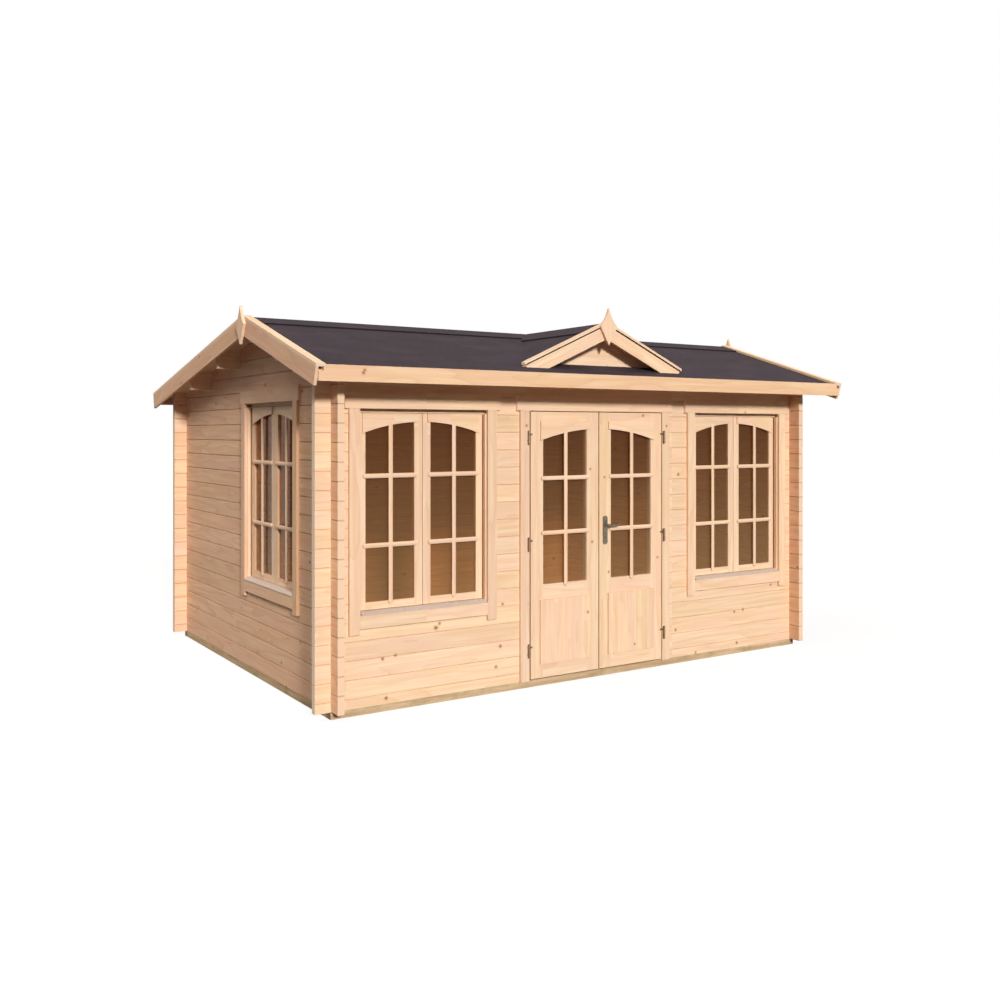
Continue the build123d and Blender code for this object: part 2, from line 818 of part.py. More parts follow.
batten_front = along_x(front_board(-batten_height, 0, deck_start), -barge_inner, -batten_end)
batten_back = along_x(back_board(-batten_height, 0, deck_finish), -barge_inner, -batten_end)
left_battens = group(batten_front, batten_back)
save("gable_battens", group(left_battens, mirrored(left_battens)))

capping_end = -roof_end + capping_width
capping_front = along_x(front_board(cap_low, cap_high, eave_front), -roof_end, capping_end)
capping_back = along_x(back_board(cap_low, cap_high, eave_back), -roof_end, capping_end)
left_cappings = group(capping_front, capping_back)


def eave_fascia(strip, rafter_line):
    """A board across the eave, cut down at its ends under the cappings and again beside the boards."""
    top = rafter_line + felt_high + fascia_rise
    bottom = top - fascia_height
    capping_line = rafter_line + cap_low - piece_gap
    end = barge_inner - piece_gap
    board = box((-cap_reach, cap_reach), strip, (bottom, top))
    board += box((-deck_end, deck_end), strip, (bottom, capping_line))
    return board + box((-end, end), strip, (bottom, capping_line - eave_notch_height))


front_fascia = eave_fascia((eave_front, deck_start), under_front(eave_front))
back_fascia = eave_fascia((deck_finish, eave_back), under_back(eave_back))
save("eave_fascias", group(front_fascia, back_fascia))

# Dormer

dormer_under = ridge_under - dormer_drop
dormer_face = front_face - dormer_overhang
dormer_deck_face = dormer_face + barge_thickness
slope_cut = below_felt()


def dormer_layer(low, high, end):
    """Outline in x and z of a sheet on the right slope of the dormer."""
    start = ridge_side
    drop = dormer_slope * end
    top = dormer_under - dormer_slope * start
    return [(start, top + low), (end, dormer_under - drop + low),
            (end, dormer_under - drop + high), (start, top + high)]


dormer_deck = along_y(dormer_layer(0, felt_low, dormer_half_width), dormer_deck_face, ridge_offset)
dormer_deck = dormer_deck - slope_cut
save("dormer_roof_boards", group(dormer_deck, mirrored(dormer_deck)))
dormer_felt = along_y(dormer_layer(felt_low, felt_high, dormer_half_width), dormer_deck_face, ridge_offset)
dormer_felt = dormer_felt - slope_cut
save("dormer_felt", group(dormer_felt, mirrored(dormer_felt)))

dormer_board_low = cap_low - dormer_barge_height
dormer_barge_outline = dormer_layer(dormer_board_low, cap_low, dormer_barge_half)
dormer_barge = along_y(dormer_barge_outline, dormer_face, dormer_deck_face) - slope_cut
save("dormer_bargeboards", group(dormer_barge, mirrored(dormer_barge)))

dormer_cap_front = dormer_face - dormer_capping_lip
dormer_cap_back = dormer_cap_front + dormer_capping_width
dormer_capping_outline = dormer_layer(cap_low, cap_high, dormer_half_width)
dormer_capping = along_y(dormer_capping_outline, dormer_cap_front, dormer_cap_back) - slope_cut
dormer_cappings = group(dormer_capping, mirrored(dormer_capping))
save("capping_strips", group(left_cappings, mirrored(left_cappings), dormer_cappings))

infill_face = front_face + dormer_infill_setback
dormer_foot = dormer_under - dormer_slope * dormer_half_width
infill_low = [(-dormer_half_width, dormer_foot), (0, dormer_under), (dormer_half_width, dormer_foot)]
infill = along_y(infill_low, infill_face, infill_face + dormer_infill_thickness) - slope_cut
save("dormer_infill", infill)

# Ridge caps of felt, the dormer's run under the main one

dormer_cap_outline = dormer_layer(felt_high, felt_high + ridge_cap_thickness, ridge_cap_width)
dormer_shell = [(-dormer_half_width, dormer_foot + felt_high),
                (0, dormer_under + felt_high + ridge_cap_thickness),
                (dormer_half_width, dormer_foot + felt_high)]
front_cap = along_x(cap_front, -cap_reach, cap_reach)
front_cap = front_cap - along_y(dormer_shell, ridge_offset - 2 * ridge_cap_width, ridge_offset)
main_cap = front_cap + along_x(cap_back, -cap_reach, cap_reach)
dormer_cap = along_y(dormer_cap_outline, dormer_cap_back + piece_gap, ridge_offset)
dormer_cap = dormer_cap - slope_cut - main_cap
save("ridge_caps", group(main_cap, dormer_cap, mirrored(dormer_cap)))


# Finials

def finial(peak, rise):
    """A kite-shaped board with a hollowed spike, standing at y 0 and facing the front."""
    tip = peak + rise
    foot = tip - finial_height
    shoulder = tip - finial_spike
    half_finial = finial_width / 2
    way = math.hypot(half_finial, finial_spike)
    bend_x = half_finial / 2 - finial_hollow * finial_spike / way
    bend_z = (tip + shoulder) / 2 - finial_hollow * half_finial / way
    right_edge = ThreePointArc((half_finial, 0, shoulder), (bend_x, 0, bend_z), (0, 0, tip))
    left_edge = ThreePointArc((0, 0, tip), (-bend_x, 0, bend_z), (-half_finial, 0, shoulder))
    lower = Polyline((-half_finial, 0, shoulder), (0, 0, foot), (half_finial, 0, shoulder))
    return extrude(make_face([right_edge, left_edge, lower]), amount=finial_thickness, dir=(0, -1, 0))


left_finial = Pos(-roof_end, ridge_offset, 0) * Rot(0, 0, -90) * finial(ridge_height, finial_rise)
dormer_finial = Pos(0, dormer_cap_front, 0) * finial(ridge_height - dormer_drop, dormer_finial_rise)
save("finials", group(left_finial, mirrored(left_finial), dormer_finial))
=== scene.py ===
import bpy
import math
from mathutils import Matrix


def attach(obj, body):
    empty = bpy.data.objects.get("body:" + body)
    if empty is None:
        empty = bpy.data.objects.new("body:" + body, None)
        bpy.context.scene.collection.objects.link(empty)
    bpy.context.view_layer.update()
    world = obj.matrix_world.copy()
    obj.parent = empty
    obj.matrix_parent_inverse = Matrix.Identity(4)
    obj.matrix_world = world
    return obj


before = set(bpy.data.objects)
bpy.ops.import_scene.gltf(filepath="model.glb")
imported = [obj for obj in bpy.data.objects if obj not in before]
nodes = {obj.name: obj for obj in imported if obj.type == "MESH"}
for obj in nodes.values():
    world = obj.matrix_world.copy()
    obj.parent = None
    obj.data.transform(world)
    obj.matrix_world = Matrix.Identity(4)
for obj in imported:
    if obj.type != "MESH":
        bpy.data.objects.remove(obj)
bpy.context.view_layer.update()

# Driving sizes of the cabin in metres, on the ground frame: walls, logs and boards
BASE = 0.045
LOG = 0.114
WALL_X = 2.0
WALL_Y = 1.5
BEAM = 0.070
BOARD = 0.0885
HEAD = BASE + 1.8
FIRST_JOINT = BASE + LOG / 2

# Keeps a piece's own face on its side of a limit
EDGE = 0.0003

# Roof, with the place along it where the dormer's cappings give way to the gables'
RIDGE_Y = -0.570
FRONT_TAN = math.tan(math.radians(17.4))
BACK_TAN = math.tan(math.radians(11.2))
DORMER_TAN = math.tan(math.radians(23.9))
DORMER_REACH = 1.2

# Glazing bars
BAR_HALF = 0.014
BAR_DEPTH = 0.008
BAR_OVERLAP = 0.020
ARCH_OVERLAP = 0.023

# Windows: half the opening, then what its frame, sashes and panes leave of it
WINDOW_X = 1.365
SIDE_Y = -0.492
SIDE_LIFT = LOG / 2
OPENING = 0.480
CASING_INNER = OPENING - 0.027
FRAME_INNER = OPENING - 0.036
SILL_TOP = BASE + 0.573
FRAME_HEAD = HEAD - 0.024
FRAME_MIDDLE = 1.2
SASH_SETBACK = 0.034
SASH_GLASS = (0.0575, FRAME_INNER - 0.051)
SASH_GLASS_LOW = SILL_TOP + 0.051
SASH_BARS = (SASH_GLASS_LOW + 0.343, SASH_GLASS_LOW + 0.767)
SASH_PEAK = FRAME_HEAD - 0.054
SASH_ARCH_FOOT = SASH_PEAK - 0.077
SASH_BAR_END = SASH_PEAK - 0.002
SASH_BEAD_END = SASH_PEAK - 0.023

# Doors
DOOR_STOP = 0.560
LEAF_OUTER = 0.575
LEAF_FACE = -WALL_Y - 0.020
LEAF_THICKNESS = 0.040
LEAF_GLASS = (0.107, LEAF_OUTER - 0.100)
LEAF_GLASS_LOW = BASE + 0.636
LEAF_BARS = (LEAF_GLASS_LOW + 0.345, LEAF_GLASS_LOW + 0.712)
LEAF_PEAK = HEAD - 0.120
LEAF_BAR_END = LEAF_PEAK - 0.0025
LEAF_BEAD_END = LEAF_PEAK - 0.029
PANEL_OVERLAP = 0.028
PANEL_INNER = LEAF_GLASS[0] - PANEL_OVERLAP
PANEL_BOARD = (LEAF_GLASS[1] + PANEL_OVERLAP - PANEL_INNER) / 5
PANEL_END = 0.62

# Boards are numbered, and each kind of piece starts at its own number, so that no two look alike
FIRST_BOARD = {"window": 20, "door casing": 60, "door frame": 70, "leaf": 80, "side wall": 150,
               "gable": 200, "dormer": 220, "back wall": 311, "side window": 400, "door trim": 500,
               "floor": 600, "fascia": 640, "finial": 660, "purlin": 680, "infill": 700, "bearer": 800,
               "beam": 840, "bead": 860}

# What tells like boards apart: steps to a metre, and places between an inner board and an outer one
SASH_RAILS = 3.1
LEAF_RAILS = 2.3
PURLINS = 5.0
BEARERS = 9.0
BEADS = 2.2
SASH_SPLIT = 0.2
LEAF_SPLIT = 0.3

# The front wall's logs between its openings, in bays from a place left of the middle
BAY = 1.3
BAY_START = -0.6


def rgb(red, green, blue):
    """A colour as the eye names it, turned into the numbers a shader takes."""
    def part(value):
        value = value / 255
        return value / 12.92 if value <= 0.04045 else ((value + 0.055) / 1.055) ** 2.4
    return part(red), part(green), part(blue), 1.0


def middle_of(pair):
    return (pair[0] + pair[1]) / 2


class Graph:
    """The node tree of a material or a world, written as sums."""

    def __init__(self, owner, output="ShaderNodeOutputMaterial"):
        self.owner = owner
        owner.use_nodes = True
        self.tree = owner.node_tree
        self.tree.nodes.clear()
        self.output = self.add(output)
        self.where = self.add("ShaderNodeTexCoord")

    def add(self, kind, **settings):
        node = self.tree.nodes.new(kind)
        for key, value in settings.items():
            setattr(node, key, value)
        return node

    def put(self, value, socket):
        if isinstance(value, bpy.types.NodeSocket):
            self.tree.links.new(value, socket)
        else:
            socket.default_value = value

    def put_all(self, values, sockets):
        for value, socket in zip(values, sockets):
            self.put(value, socket)

    def math(self, operation, *values):
        node = self.add("ShaderNodeMath", operation=operation)
        self.put_all(values, node.inputs)
        return node.outputs[0]

    def plus(self, a, b):
        return self.math("ADD", a, b)

    def minus(self, a, b):
        return self.math("SUBTRACT", a, b)

    def times(self, a, b):
        return self.math("MULTIPLY", a, b)

    def size(self, a):
        return self.math("ABSOLUTE", a)

    def over(self, a, b):
        """1 where a is more than b."""
        return self.math("GREATER_THAN", a, b)

    def under(self, a, b):
        """1 where a is less than b."""
        return self.math("LESS_THAN", a, b)

    def either(self, a, b):
        return self.math("MAXIMUM", a, b)

    def both(self, a, b):
        return self.math("MINIMUM", a, b)

    def step(self, value, rate):
        """Which step the value lies on, at so many steps to a metre."""
        return self.math("FLOOR", self.times(value, rate))

    def count(self, first, *steps):
        """A board number: the first one, and for each pair in steps its amount times its stride more."""
        total = first
        for amount, stride in steps:
            total = self.plus(total, self.times(amount, stride))
        return total

    def mix(self, share, a, b):
        node = self.add("ShaderNodeMix", data_type="FLOAT")
        self.put_all((share, a, b), (node.inputs[0], node.inputs[2], node.inputs[3]))
        return node.outputs[0]

    def tint(self, share, a, b, way="MIX"):
        node = self.add("ShaderNodeMix", data_type="RGBA", blend_type=way)
        self.put_all((share, a, b), (node.inputs[0], node.inputs[6], node.inputs[7]))
        return node.outputs[2]

    def spread(self, value, low, high, start=0.0, end=1.0, smooth=True):
        """Value run from low to high, carried to start to end."""
        node = self.add("ShaderNodeMapRange", interpolation_type="SMOOTHSTEP" if smooth else "LINEAR")
        self.put_all((value, low, high, start, end), node.inputs)
        return node.outputs[0]

    def vector(self, x, y, z):
        node = self.add("ShaderNodeCombineXYZ")
        self.put_all((x, y, z), node.inputs)
        return node.outputs[0]

    def split(self, vector):
        node = self.add("ShaderNodeSeparateXYZ")
        self.put(vector, node.inputs[0])
        return node.outputs[0], node.outputs[1], node.outputs[2]

    def length(self, vector):
        node = self.add("ShaderNodeVectorMath", operation="LENGTH")
        self.put(vector, node.inputs[0])
        return node.outputs["Value"]

    def noise(self, place, rates=(1.0, 1.0, 1.0), detail=2.0, roughness=0.5, scale=1.0):
        """Noise over a place of three values, each of them run through at its own rate."""
        node = self.add("ShaderNodeTexNoise")
        rated = [value if rate == 1.0 else self.times(value, rate) for value, rate in zip(place, rates)]
        self.put(self.vector(*rated), node.inputs["Vector"])
        for name, value in (("Scale", scale), ("Detail", detail), ("Roughness", roughness)):
            node.inputs[name].default_value = value
        return node.outputs[0]

    def cells(self, place, dimensions, scale=1.0):
        node = self.add("ShaderNodeTexVoronoi", voronoi_dimensions=dimensions, feature="F1")
        node.inputs["Scale"].default_value = scale
        self.put(self.vector(*place), node.inputs["Vector"])
        return node.outputs

    def chance(self, number):
        """Three random numbers that belong to a number."""
        node = self.add("ShaderNodeTexWhiteNoise", noise_dimensions="1D")
        self.put(number, node.inputs["W"])
        return self.split(node.outputs["Color"])

    def xyz(self):
        return self.split(self.where.outputs["Object"])

    def facing(self, axis):
        """How far the surface faces along an axis of the piece, without sign."""
        return self.size(self.split(self.where.outputs["Normal"])["xyz".index(axis)])

    def bump(self, height, distance, strength=0.6):
        node = self.add("ShaderNodeBump")
        node.inputs["Strength"].default_value = strength
        node.inputs["Distance"].default_value = distance
        self.put(height, node.inputs["Height"])
        return node.outputs[0]

    def surface(self, colour, roughness, specular, normal, metallic=0.0, **more):
        """The main shader, shown until another is shown in its place."""
        node = self.add("ShaderNodeBsdfPrincipled")
        values = {"Base Color": colour, "Roughness": roughness, "Metallic": metallic,
                  "Specular IOR Level": specular, "Normal": normal}
        values.update(more)
        for name, value in values.items():
            self.put(value, node.inputs[name])
        self.show(node.outputs[0])
        return node.outputs[0]

    def plain(self, kind, colour, strength=None):
        """A shader with a colour and perhaps a strength."""
        node = self.add(kind)
        self.put(colour, node.inputs["Color"])
        if strength is not None:
            self.put(strength, node.inputs["Strength"])
        return node.outputs[0]

    def blend(self, share, first, second):
        """The first shader where share is 0 and the second where it is 1."""
        node = self.add("ShaderNodeMixShader")
        self.put_all((share, first, second), node.inputs)
        return node.outputs[0]

    def seen(self):
        """1 for rays from the camera, also by way of a mirror or glass."""
        path = self.add("ShaderNodeLightPath").outputs
        straight = self.either(path["Is Camera Ray"], path["Is Glossy Ray"])
        return self.either(straight, path["Is Transmission Ray"])

    def show(self, shader):
        self.put(shader, self.output.inputs[0])


def paint(name):
    return Graph(bpy.data.materials.new(name))


# Which way the grain runs. Each layout gives the place along the grain, across it and into the
# wood, a number that differs from board to board, and how far the surface faces along the grain.

def course(g, z, start):
    """The number of the log course, counted from a height where one starts."""
    return g.step(g.minus(z, start), 1 / LOG)


def front_courses(g, x, y, z):
    bay = g.step(g.minus(x, BAY_START), 1 / BAY)
    return x, z, y, g.count(course(g, z, FIRST_JOINT), (bay, 31.0)), g.facing("x")


def back_courses(g, x, y, z):
    return x, z, y, g.plus(course(g, z, FIRST_JOINT), FIRST_BOARD["back wall"]), g.facing("x")


def side_courses(g, x, y, z):
    number = g.plus(g.count(course(g, z, BASE), (g.over(x, 0.0), 57.0)), FIRST_BOARD["side wall"])
    return y, z, x, number, g.facing("y")


def infill_layout(g, x, y, z):
    return x, z, y, g.plus(course(g, z, FIRST_JOINT), FIRST_BOARD["infill"]), g.facing("x")


def pick(g, mask, first, second):
    """The second layout where the mask is 1 and the first elsewhere."""
    return tuple(g.mix(mask, a, b) for a, b in zip(first, second))


def upright(h, depth, z, number, end):
    return z, h, depth, number, end


def level(h, depth, z, number, end):
    return h, z, depth, number, end


def in_window(g, x, y, z, side):
    """The place in a window: from its middle, into the wall and up, its first board number, and how
    far the surface faces along the wall and up."""
    if side:
        number = g.plus(g.over(y, SIDE_Y), FIRST_BOARD["side window"])
        return g.minus(y, SIDE_Y), x, g.minus(z, SIDE_LIFT), number, g.facing("y"), g.facing("z")
    number = g.count(FIRST_BOARD["window"], (g.over(x, 0.0), 9.0))
    return g.minus(g.size(x), WINDOW_X), y, z, number, g.facing("x"), g.facing("z")


def casing_layout(side):
    def layout(g, x, y, z):
        h, depth, z, number, nh, nz = in_window(g, x, y, z, side)
        flat = g.either(g.over(z, HEAD), g.under(g.size(h), CASING_INNER - EDGE))
        number = g.count(number, (g.over(h, 0.0), 3.0), (g.over(z, HEAD), 17.0))
        return pick(g, flat, upright(h, depth, z, number, nz), level(h, depth, z, g.plus(number, 5.0), nh))
    return layout


def frame_layout(side):
    def layout(g, x, y, z):
        h, depth, z, number, nh, nz = in_window(g, x, y, z, side)
        flat = g.either(g.over(z, FRAME_HEAD - EDGE), g.under(z, SILL_TOP + EDGE))
        number = g.count(number, (g.over(h, 0.0), 3.0), (g.over(z, FRAME_MIDDLE), 17.0))
        return pick(g, flat, upright(h, depth, z, number, nz), level(h, depth, z, g.plus(number, 7.0), nh))
    return layout


def sash_layout(side):
    def layout(g, x, y, z):
        h, depth, z, number, nh, nz = in_window(g, x, y, z, side)
        s = g.size(h)
        inner, outer = SASH_GLASS
        below_arch = g.under(z, SASH_ARCH_FOOT)
        stile = g.both(below_arch, g.either(g.under(s, inner), g.over(s, outer)))
        edge = g.either(g.under(s, inner - ARCH_OVERLAP), g.over(s, outer + ARCH_OVERLAP))
        bar_side = g.size(g.minus(s, middle_of(SASH_GLASS)))
        bar = g.both(g.under(bar_side, BAR_HALF), g.under(z, SASH_BAR_END))
        tall = g.either(g.either(stile, edge), bar)
        number = g.count(number, (g.over(h, 0.0), 3.0), (g.over(s, SASH_SPLIT), 17.0))
        low = g.plus(number, g.step(z, SASH_RAILS))
        return pick(g, tall, level(h, depth, z, low, nh), upright(h, depth, z, g.plus(number, 40.0), nz))
    return layout


def door_casing_layout(g, x, y, z):
    number = g.count(FIRST_BOARD["door casing"], (g.over(x, 0.0), 4.0))
    tall = upright(x, y, z, number, g.facing("z"))
    return pick(g, g.over(z, HEAD), tall, level(x, y, z, 0.0, g.facing("x")))


def door_frame_layout(g, x, y, z):
    number = g.count(FIRST_BOARD["door frame"], (g.over(x, 0.0), 4.0))
    flat = g.either(g.over(z, HEAD - EDGE), g.under(g.size(x), DOOR_STOP - EDGE))
    tall = upright(x, y, z, number, g.facing("z"))
    return pick(g, flat, tall, level(x, y, z, g.plus(number, 2.0), g.facing("x")))


def leaf_layout(g, x, y, z):
    s = g.size(x)
    tall = g.either(g.under(s, LEAF_GLASS[0]), g.over(s, LEAF_GLASS[1]))
    number = g.count(FIRST_BOARD["leaf"], (g.over(x, 0.0), 4.0))
    low = g.plus(number, g.step(z, LEAF_RAILS))
    high = g.plus(g.count(number, (g.over(s, LEAF_SPLIT), 9.0)), 20.0)
    return pick(g, tall, level(x, y, z, low, g.facing("x")), upright(x, y, z, high, g.facing("z")))


def trim_layout(g, x, y, z):
    s = g.size(x)
    board = g.step(g.minus(s, PANEL_INNER), 1 / PANEL_BOARD)
    bar_side = g.size(g.minus(s, middle_of(LEAF_GLASS)))
    bar = g.both(g.under(bar_side, BAR_HALF), g.under(z, LEAF_BAR_END))
    tall = g.either(g.under(z, PANEL_END), bar)
    number = g.count(FIRST_BOARD["door trim"], (g.over(x, 0.0), 14.0))
    low = g.plus(number, g.step(z, SASH_RAILS))
    high = g.plus(g.plus(number, board), 50.0)
    return pick(g, tall, level(x, y, z, low, g.facing("x")), upright(x, y, z, high, g.facing("z")))


def slope_parts(g, flat, z, tangent, facing_flat):
    """Along and across a board that falls outward from the ridge, and how far it faces along itself."""
    cosine = 1 / math.hypot(1, tangent)
    sine = tangent * cosine
    along = g.minus(g.times(flat, cosine), g.times(z, sine))
    across = g.plus(g.times(flat, sine), g.times(z, cosine))
    end = g.size(g.minus(g.times(facing_flat, cosine), g.times(g.facing("z"), sine)))
    return along, across, end


def gable_layout(g, x, y, z):
    flat = g.size(g.minus(y, RIDGE_Y))
    behind = g.over(y, RIDGE_Y)
    number = g.count(FIRST_BOARD["gable"], (g.over(x, 0.0), 6.0), (behind, 2.0))
    front, back = [slope_parts(g, flat, z, tangent, g.facing("y")) for tangent in (FRONT_TAN, BACK_TAN)]
    along, across, end = pick(g, behind, front, back)
    return along, across, x, number, end


def dormer_layout(g, x, y, z):
    along, across, end = slope_parts(g, g.size(x), z, DORMER_TAN, g.facing("x"))
    return along, across, y, g.count(FIRST_BOARD["dormer"], (g.over(x, 0.0), 3.0)), end


def capping_layout(g, x, y, z):
    near = g.under(g.size(x), DORMER_REACH)
    return pick(g, near, gable_layout(g, x, y, z), dormer_layout(g, x, y, z))


def boards_down(layout):
    """Boards that run down the slope, side by side along the roof."""
    def boards(g, x, y, z):
        along, across, depth, number, end = layout(g, x, y, z)
        return along, depth, across, g.plus(number, g.step(depth, 1 / BOARD)), end
    return boards


def floor_layout(g, x, y, z):
    return x, y, z, g.plus(g.step(y, 1 / BOARD), FIRST_BOARD["floor"]), g.facing("x")


def fascia_layout(g, x, y, z):
    return x, z, y, g.count(FIRST_BOARD["fascia"], (g.over(y, 0.0), 5.0)), g.facing("x")


def finial_layout(g, x, y, z):
    number = g.plus(g.math("FLOOR", x), FIRST_BOARD["finial"])
    return z, g.plus(x, y), g.minus(x, y), number, g.facing("z")


def purlin_layout(g, x, y, z):
    return x, z, y, g.plus(g.step(y, PURLINS), FIRST_BOARD["purlin"]), g.facing("x")


def bead_layout(along):
    """Beads that run up where they face sideways and along where they face up or down."""
    def layout(g, x, y, z):
        h, depth = (x, y) if along == "x" else (y, x)
        number = g.plus(g.step(h, BEADS), FIRST_BOARD["bead"])
        sideways = g.over(g.facing(along), g.facing("z"))
        return pick(g, sideways, level(h, depth, z, number, 0.0), upright(h, depth, z, number, 0.0))
    return layout


def beam_layout(g, x, y, z):
    """Long beams in front and behind, and beams and bearers across between them."""
    rail = g.over(g.size(y), WALL_Y - BEAM + EDGE)
    cross = (y, x, z, g.plus(g.step(x, BEARERS), FIRST_BOARD["bearer"]), g.facing("y"))
    long = (x, y, z, g.plus(g.over(y, 0.0), FIRST_BOARD["beam"]), g.facing("x"))
    return pick(g, rail, cross, long)


CREAM = rgb(250, 219, 187)
HONEY = rgb(242, 205, 167)
ROSE = rgb(244, 206, 177)
LATE = rgb(222, 174, 130)
KNOT = rgb(146, 96, 60)
# RIM is the brown ring about a knot, and also the painted shade on the cut sides of trim
RIM = rgb(196, 136, 90)
END = rgb(255, 234, 206)
LINE = rgb(150, 104, 70)
WHITE = (1.0, 1.0, 1.0, 1.0)

# How far a board's figure is shifted at most, along the grain, across it and into the wood
SHIFTS = (11.0, 3.0, 0.04)

# Knots: cells to a metre along and across the grain, least radius and what chance adds to it, how soft
# the edge is, and how far the dark ring and the bend of the grain reach
KNOT_RATES = (2.3, 8.6)
KNOT_RADIUS = 0.003
KNOT_MORE = 0.006
KNOT_SOFT = 0.003
KNOT_RING = 0.016
KNOT_BEND = 0.05

# Growth rings: their width, how deep the heart lies, and how far across the figure repeats
RING = 0.0052
HEART_DEPTH = 0.075
HEART_SPACING = 0.16


def knots(g, a, v, share):
    """Knots scattered one to a cell and round in real size. Gives how far outside the nearest one's
    edge a place lies, how far from its middle, also across the grain alone, and 1 where it is left out."""
    rate_a, rate_v = KNOT_RATES
    cell = g.cells((g.times(a, rate_a), g.times(v, rate_v), 0.0), "2D")
    centre_a, centre_v = g.split(cell["Position"])[:2]
    away_a = g.times(g.minus(g.times(a, rate_a), centre_a), 1 / rate_a)
    away_v = g.times(g.minus(g.times(v, rate_v), centre_v), 1 / rate_v)
    away = g.length(g.vector(g.times(away_a, 0.8), away_v, 0.0))
    luck, size = g.split(cell["Color"])[:2]
    absent = g.over(luck, share)
    edge = g.plus(g.minus(away, g.plus(g.times(size, KNOT_MORE), KNOT_RADIUS)), absent)
    return edge, away, away_v, absent


def pine(name, layout, joint=None, spots=(), share=0.16, strength=1.0, tone=None, line_share=0.3, rim=None,
         line=LINE, cut_end=END):
    """Planed softwood. joint is (first place across, pitch, half width) of lines between boards, spots
    are knots at (along, across, radius), and rim is the axis that the broad face looks along; the cut
    sides of the pieces, which face across it, get painted shade in a darker brown."""
    g = paint(name)
    along, across, depth, number, end = layout(g, *g.xyz())
    one, two, three = g.chance(number)
    a, v, w = [g.plus(value, g.times(luck, shift))
               for value, luck, shift in zip((along, across, depth), (one, two, three), SHIFTS)]

    edge, away, away_v, absent = knots(g, a, v, share)
    for spot_a, spot_v, radius in spots:
        node = g.add("ShaderNodeVectorMath", operation="DISTANCE")
        g.put(g.vector(along, across, 0.0), node.inputs[0])
        node.inputs[1].default_value = (spot_a, spot_v, 0.0)
        edge = g.both(edge, g.minus(node.outputs["Value"], radius))
    knot = g.spread(edge, KNOT_SOFT, -KNOT_SOFT)
    halo = g.spread(edge, KNOT_RING, 0.0)
    bend = g.spread(away, KNOT_BEND, 0.0, 0.0, 0.75)
    bent = g.minus(v, g.times(g.times(away_v, g.minus(1.0, absent)), bend))

    # Growth rings about a heart that lies outside the board
    warp = g.noise((a, bent, w), (0.9, 6.0, 6.0))
    folded = g.math("PINGPONG", bent, HEART_SPACING)
    heart = g.length(g.vector(folded, g.plus(w, HEART_DEPTH), 0.0))
    ring = g.math("FRACT", g.times(g.plus(heart, g.times(warp, 0.03)), 1 / RING))
    late = g.math("POWER", ring, 2.6)
    streak = g.noise((a, bent, w), (1.3, 30.0, 30.0), 3.0, 0.6)
    patch = g.noise((a, bent, w), (1.9, 9.0, 9.0))
    fibre = g.noise((a, v, w), (9.0, 420.0, 420.0), 2.0, 0.6)

    # Colour of the wood, then what sets one board off from the next
    colour = g.tint(g.spread(streak, 0.36, 0.66), CREAM, HONEY)
    colour = g.tint(g.spread(patch, 0.42, 0.7, 0.0, 0.85), colour, ROSE)
    colour = g.tint(g.times(late, 0.3 * strength), colour, LATE)
    colour = g.tint(g.spread(fibre, 0.55, 0.8, 0.0, 0.22 * strength), colour, LATE)
    light = g.spread(one, 0.0, 1.0, 0.925, 1.02, smooth=False)
    green = g.times(light, g.spread(two, 0.0, 1.0, 0.985, 1.01, smooth=False))
    blue = g.times(light, g.spread(three, 0.0, 1.0, 0.95, 1.03, smooth=False))
    colour = g.tint(1.0, colour, g.vector(light, green, blue), "MULTIPLY")

    # Cut ends and knots
    grain_end = g.spread(end, 0.6, 0.85)
    colour = g.tint(g.times(grain_end, 0.8), colour, cut_end)
    colour = g.tint(g.times(g.times(grain_end, late), 0.22), colour, LINE)
    side = g.minus(1.0, grain_end)
    colour = g.tint(g.times(g.times(g.times(halo, halo), side), 0.55), colour, RIM)
    colour = g.tint(g.times(g.times(knot, side), 0.8), colour, KNOT)
    height = g.minus(g.plus(g.times(late, 0.35), g.times(fibre, 0.5)), g.times(g.times(halo, side), 0.5))

    if joint is not None:
        start, pitch, half_width = joint
        place = g.math("FRACT", g.plus(g.times(g.minus(across, start), 1 / pitch), 0.5))
        away_joint = g.times(g.size(g.minus(place, 0.5)), pitch)
        rough = g.spread(g.noise((a, number, 0.0), (7.0, 1.0, 1.0), 3.0, 0.6), 0.3, 0.7, 0.75, 1.35)
        seam = g.spread(g.times(away_joint, rough), half_width * 1.4, half_width * 0.3)
        colour = g.tint(g.times(seam, line_share), colour, line)
        height = g.minus(height, g.times(seam, 1.5))
    # Painted shade: the cut sides, which face across the rim axis, tinted darker brown
    if rim is not None:
        colour = g.tint(g.times(g.spread(g.facing(rim), 0.6, 0.3), 0.62), colour, RIM)
    if tone is not None:
        colour = g.tint(1.0, colour, (*tone, 1.0), "MULTIPLY")
    g.surface(colour, g.spread(fibre, 0.3, 0.7, 0.56, 0.7), 0.3, g.bump(height, 0.0007))
    return g.owner


def treated(name):
    """Sawn softwood with a green-brown preservative."""
    g = paint(name)
    along, across, depth, number, end = beam_layout(g, *g.xyz())
    place = (g.plus(along, g.times(g.chance(number)[0], 9.0)), across, depth)
    streak = g.noise(place, (2.0, 45.0, 45.0), 3.0, 0.6)
    patch = g.noise(place, (5.0, 14.0, 14.0), 3.0, 0.6)
    saw = g.noise(place, (260.0, 18.0, 18.0))
    colour = g.tint(g.spread(streak, 0.35, 0.68), rgb(220, 190, 152), rgb(192, 162, 124))
    colour = g.tint(g.spread(patch, 0.45, 0.72, 0.0, 0.7), colour, rgb(168, 146, 108))
    colour = g.tint(g.spread(saw, 0.5, 0.75, 0.0, 0.25), colour, rgb(142, 118, 90))
    colour = g.tint(g.times(g.spread(end, 0.6, 0.85), 0.5), colour, rgb(136, 112, 84))
    g.surface(colour, 0.82, 0.2, g.bump(g.plus(saw, streak), 0.0012))
    return g.owner


